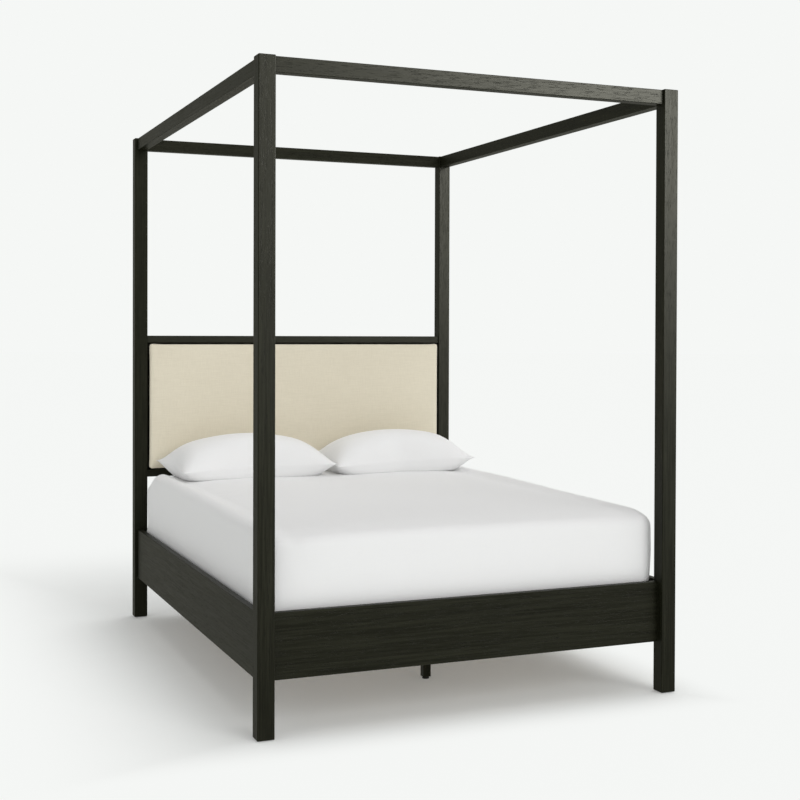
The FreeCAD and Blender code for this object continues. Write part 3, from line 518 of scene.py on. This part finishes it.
def mattress():
    """The mattress as a puffed core, with a fitted sheet stretched over it."""
    low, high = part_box("mattress")
    inset = Vector((0.012, 0.012, 0))
    core = rounded_block("mattress_core", low + inset, high - inset - Vector((0, 0, 0.012)),
                         0.050, (0.012, 0.034), 0.016)
    puff(core, 4.0, 0.018)
    grow = Vector((0.004, 0.004, 0))
    fit(core, low - grow, high + grow + Vector((0, 0, 0.004)))
    at = coords(core.data)
    half = (high - low) / 2
    across = np.abs(at[:, 0]) / half.x
    upper = smoothstep((at[:, 2] - (high.z - 0.12)) / 0.12)
    # the top falls a little towards the foot, and its long edges are a firm roll, which is
    # higher near the head and falls away at the corners
    foot = smoothstep((-at[:, 1] - 0.55) / 0.45)
    head = smoothstep((at[:, 1] - 0.84) / 0.16)
    firm = 0.018 + 0.011 * smoothstep((at[:, 1] + 0.6) / 0.9)
    roll = firm * smoothstep((across - 0.86) / 0.10)
    corner = across ** 8 * smoothstep((-at[:, 1] - 0.90) / 0.12)
    at[:, 2] += upper * (0.004 - 0.004 * across ** 4 - 0.006 * foot + roll * (1 - head))
    at[:, 2] -= upper * (0.022 * corner + 0.034 * head * smoothstep((across - 0.83) / 0.17))
    at[:, 2] = np.maximum(at[:, 2], SLAT_TOP + 0.0006)
    # its sides bulge above the rails, and fill the space between them. Each row gives heights,
    # and how far from the middle the side is there
    right = np.interp(at[:, 2], (0.392, 0.404, 0.44, 0.53, 0.66),
                      (0.7744, 0.763, 0.768, 0.773, 0.770))
    left = np.interp(at[:, 2], (0.418, 0.434, 0.46, 0.53, 0.66),
                     (0.7735, 0.7660, 0.7655, 0.767, 0.768))
    reach = np.where(at[:, 0] > 0, right, left)
    at[:, 0] *= 1 + (reach / (half.x + 0.004) - 1) * smoothstep((across - 0.9) / 0.1)
    at[:, 0] = np.clip(at[:, 0], -reach, reach)
    set_coords(core.data, at)
    smooth(core, 1)
    core.data.materials.append(ticking)

    sheet = new_object("fitted_sheet", core.data.copy())
    shape = bmesh.new()
    shape.from_mesh(sheet.data)
    # below, the sheet reaches only as far in as its turn-under
    turn_under = 0.07
    under = []
    for face in shape.faces:
        middle = face.calc_center_median()
        inner = min(half.x - abs(middle.x), half.y - abs(middle.y - (low.y + high.y) / 2))
        if face.normal.z < -0.7 and inner > turn_under:
            under.append(face)
    bmesh.ops.delete(shape, geom=under, context="FACES")
    shape.to_mesh(sheet.data)
    shape.free()
    thick = sheet.modifiers.new("cloth_thickness", "SOLIDIFY")
    thick.thickness = 0.0012
    thick.offset = 1
    apply_modifiers(sheet)
    # the core's skin stays this far inside the sheet
    clear = 0.0025
    normals = np.zeros(len(core.data.vertices) * 3)
    core.data.vertices.foreach_get("normal", normals)
    set_coords(core.data, coords(core.data) - normals.reshape(-1, 3) * clear)
    smooth(sheet, 0)
    smooth(core, 0)
    sheet.data.materials.clear()
    sheet.data.materials.append(percale)
    for item in (core, sheet):
        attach(item, "mattress")
    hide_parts("mattress")


# ------------------------------------------------------------------ pillows
def pillow(side, tips, pull):
    """A knife-edged pillow. tips are the heights of its seam at the four corners, and pull is how
    far its two near corners are shifted to the right."""
    name = f"pillow_{side}"
    low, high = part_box(name)
    wide, deep = high.x - low.x, high.y - low.y
    across, along = 56, 36
    # before it is filled the case is wider, deeper and nearly flat
    flat_wide, flat_deep, flat_rise = wide * 1.065, deep * 1.12, 0.022
    grid = {}
    shape = bmesh.new()
    for layer in (1, -1):
        for i in range(across + 1):
            for j in range(along + 1):
                border = i in (0, across) or j in (0, along)
                if border and layer < 0:
                    grid[layer, i, j] = grid[1, i, j]
                    continue
                u, v = 2 * i / across - 1, 2 * j / along - 1
                rise = flat_rise * math.sqrt(max(0, (1 - u * u) * (1 - v * v)))
                grid[layer, i, j] = shape.verts.new(
                    (u * flat_wide / 2, v * flat_deep / 2, layer * rise))
    seam = shape.edges.layers.float.new("crease_edge")
    for layer in (1, -1):
        for i in range(across):
            for j in range(along):
                corners = [grid[layer, i, j], grid[layer, i + 1, j], grid[layer, i + 1, j + 1],
                           grid[layer, i, j + 1]]
                shape.faces.new(corners if layer > 0 else corners[::-1])
    rim = [grid[1, i, 0] for i in range(across + 1)]
    rim += [grid[1, across, j] for j in range(1, along + 1)]
    rim += [grid[1, i, along] for i in range(across - 1, -1, -1)]
    rim += [grid[1, 0, j] for j in range(along - 1, 0, -1)]
    for a, b in zip(rim, rim[1:] + rim[:1]):
        shape.edges.get((a, b))[seam] = 0.85
    shape.verts.index_update()
    ring = np.array([vert.index for vert in rim])
    ends = [grid[1, i, j].index for i in (0, across) for j in (0, along)]
    between_ends = ~np.isin(ring, ends)
    mesh = bpy.data.meshes.new(name)
    shape.to_mesh(mesh)
    shape.free()
    item = new_object(name + "_case", mesh)
    puff(item, 6.0, 0.16, frames=26, tension=30, bending=1.5)
    # small creases are ironed out, first along the seam
    at = coords(mesh)
    at[ring, 2] = 0
    for _ in range(30):
        line = at[ring]
        mean = (np.roll(line, 1, 0) + np.roll(line, -1, 0)) / 2
        at[ring[between_ends]] = (line + mean)[between_ends] / 2
    set_coords(mesh, at)
    shape = bmesh.new()
    shape.from_mesh(mesh)
    shape.verts.ensure_lookup_table()
    sewn = {shape.verts[index] for index in ring.tolist()}
    loose = [vert for vert in shape.verts if vert not in sewn]
    for _ in range(55):
        bmesh.ops.smooth_vert(shape, verts=loose, factor=0.5, use_axis_x=True, use_axis_y=True,
                              use_axis_z=True)
    shape.to_mesh(mesh)
    shape.free()
    at = coords(mesh)
    # the cloth leaves its seam steeply
    for half, power in ((at[:, 2] > 0, 0.78), (at[:, 2] < 0, 0.64)):
        peak = np.abs(at[half, 2]).max()
        at[half, 2] = np.sign(at[half, 2]) * peak * (np.abs(at[half, 2]) / peak) ** power
    # the free shape is fitted to the solid's width and depth
    span = at.max(0) - at.min(0)
    at[:, 0] *= wide / span[0]
    at[:, 1] *= deep / span[1]
    u, v = at[:, 0] / (wide / 2), at[:, 1] / (deep / 2)
    seat = low.z + 0.001
    near_left, near_right, far_left, far_right = tips
    near = near_left + (near_right - near_left) * (u + 1) / 2
    back = far_left + (far_right - far_left) * (u + 1) / 2
    seam_height = near + (back - near) * (v + 1) / 2
    fullness = np.where(at[:, 2] > 0, (high.z - seat - seam_height.mean()) / at[:, 2].max(), 1.0)
    height = seam_height + at[:, 2] * fullness
    # the underside rests on the bed, and is flat there
    soft = 0.013
    height = np.where(height < soft, soft * np.exp((height - soft) / soft), height)
    at[:, 2] = seat + height
    for end, shift in zip((-1, 1), pull):
        at[:, 0] += shift * ((1 + end * u) / 2).clip(0) ** 4 * ((1 - v) / 2).clip(0)
    at[:, 0] += (low.x + high.x) / 2
    at[:, 1] += (low.y + high.y) / 2
    set_coords(mesh, at)
    smooth(item, 2)
    item.data.materials.append(pillowcase)
    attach(item, name)
    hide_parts(name)


# ------------------------------------------------------------------ upholstered panel
def headboard_pad():
    """The upholstered panel: a puffed linen cover with rounded edges."""
    low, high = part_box("headboard_pad")
    inset = Vector((0.004, 0.004, 0.004))
    item = rounded_block("headboard_upholstery", low + inset, high - Vector((0.004, 0, 0.004)),
                         0.012, (0.011, 0.011), 0.008, upright="Y")
    puff(item, 4.0, 0.006, frames=14)
    fit(item, low + Vector((0, -0.003, 0)), high - Vector((0, 0.0002, 0)))
    smooth(item, 1)
    item.data.materials.append(linen)
    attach(item, "frame")
    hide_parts("headboard_pad")


mattress()
pillow("left", (0.048, 0.066, 0.070, 0.070), (0.030, 0.022))
pillow("right", (0.050, 0.072, 0.070, 0.072), (0.0, 0.008))
headboard_pad()
